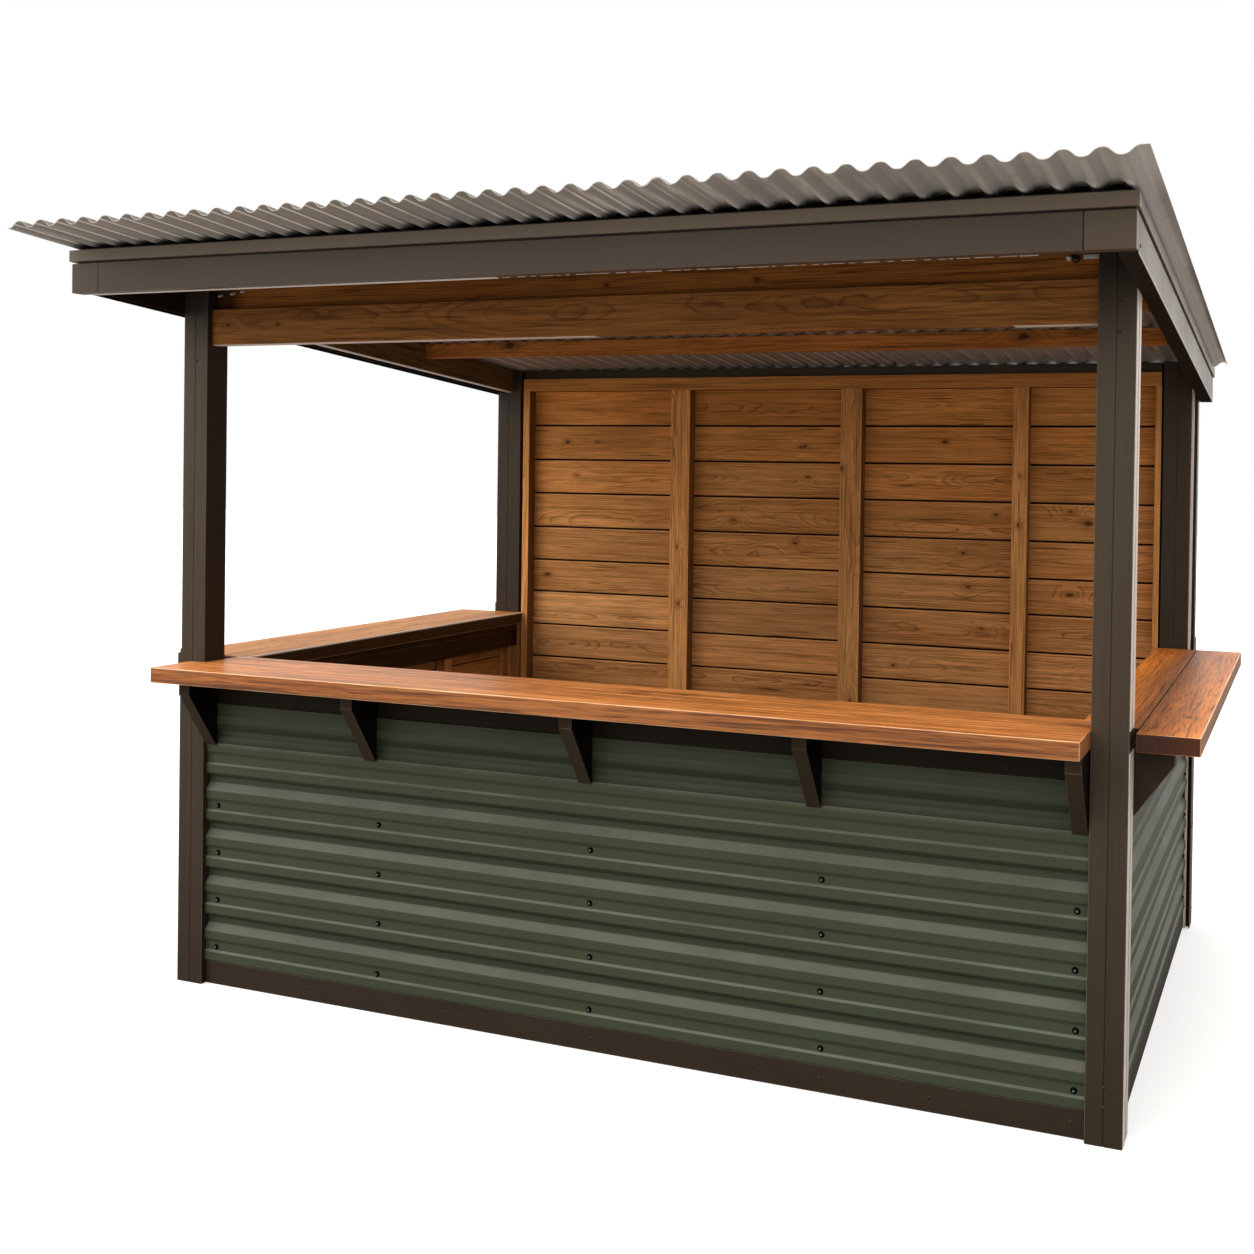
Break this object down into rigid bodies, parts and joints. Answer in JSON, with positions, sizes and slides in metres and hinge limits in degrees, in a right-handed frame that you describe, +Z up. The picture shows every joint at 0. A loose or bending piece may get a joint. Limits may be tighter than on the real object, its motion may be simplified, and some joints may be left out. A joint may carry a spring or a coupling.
{
  "type": "wooden market stall",
  "caption": "Open-sided market stall with dark posts, timber serving counters on brackets, green ribbed half walls, a boarded back wall and a corrugated lean-to roof.",
  "frame": {"origin": "centre of the footprint of the bounding box, at ground level", "axes": "+X to the right as seen by a customer at the front counter, +Y towards the boarded back wall, +Z up"},
  "size_m": [3.34, 2.77, 2.3643],
  "materials": {
    "frame_paint": "satin dark bronze paint",
    "fascia_metal": "satin dark bronze coating",
    "cladding_green": "matt dark green coating",
    "roof_metal": "satin grey-brown coating",
    "wall_timber": "oiled",
    "roof_timber": "oiled",
    "counter_timber": "satin varnish"
  },
  "bodies": {
    "root": {"post_front_left": "frame_paint", "post_front_right": "frame_paint", "post_back_left": "frame_paint", "post_back_right": "frame_paint", "front_bottom_rail": "frame_paint", "left_bottom_rail": "frame_paint", "right_bottom_rail": "frame_paint", "back_bottom_rail": "frame_paint", "front_top_rail": "frame_paint", "left_top_rail": "frame_paint", "right_top_rail": "frame_paint", "back_head_rail": "frame_paint", "front_brackets": "frame_paint", "left_brackets": "frame_paint", "right_brackets": "frame_paint", "front_fascia": "fascia_metal", "front_fascia_trim": "fascia_metal", "left_barge_board": "fascia_metal", "right_barge_board": "fascia_metal", "left_barge_trim": "fascia_metal", "right_barge_trim": "fascia_metal", "back_fascia": "fascia_metal", "post_side_plates": "fascia_metal", "front_cladding": "cladding_green", "left_cladding": "cladding_green", "right_cladding": "cladding_green", "back_cladding": "cladding_green", "roof_sheet_left": "roof_metal", "roof_sheet_right": "roof_metal", "front_board_lining": "wall_timber", "left_board_lining": "wall_timber", "right_board_lining": "wall_timber", "back_board_lining": "wall_timber", "front_studs": "wall_timber", "left_studs": "wall_timber", "right_studs": "wall_timber", "back_studs": "wall_timber", "back_top_plate": "wall_timber", "front_beam": "roof_timber", "front_header": "roof_timber", "left_rafter": "roof_timber", "right_rafter": "roof_timber", "front_purlin": "roof_timber", "mid_purlin": "roof_timber", "front_counter": "counter_timber", "left_counter": "counter_timber", "right_counter": "counter_timber"}
  },
  "joints": []
}
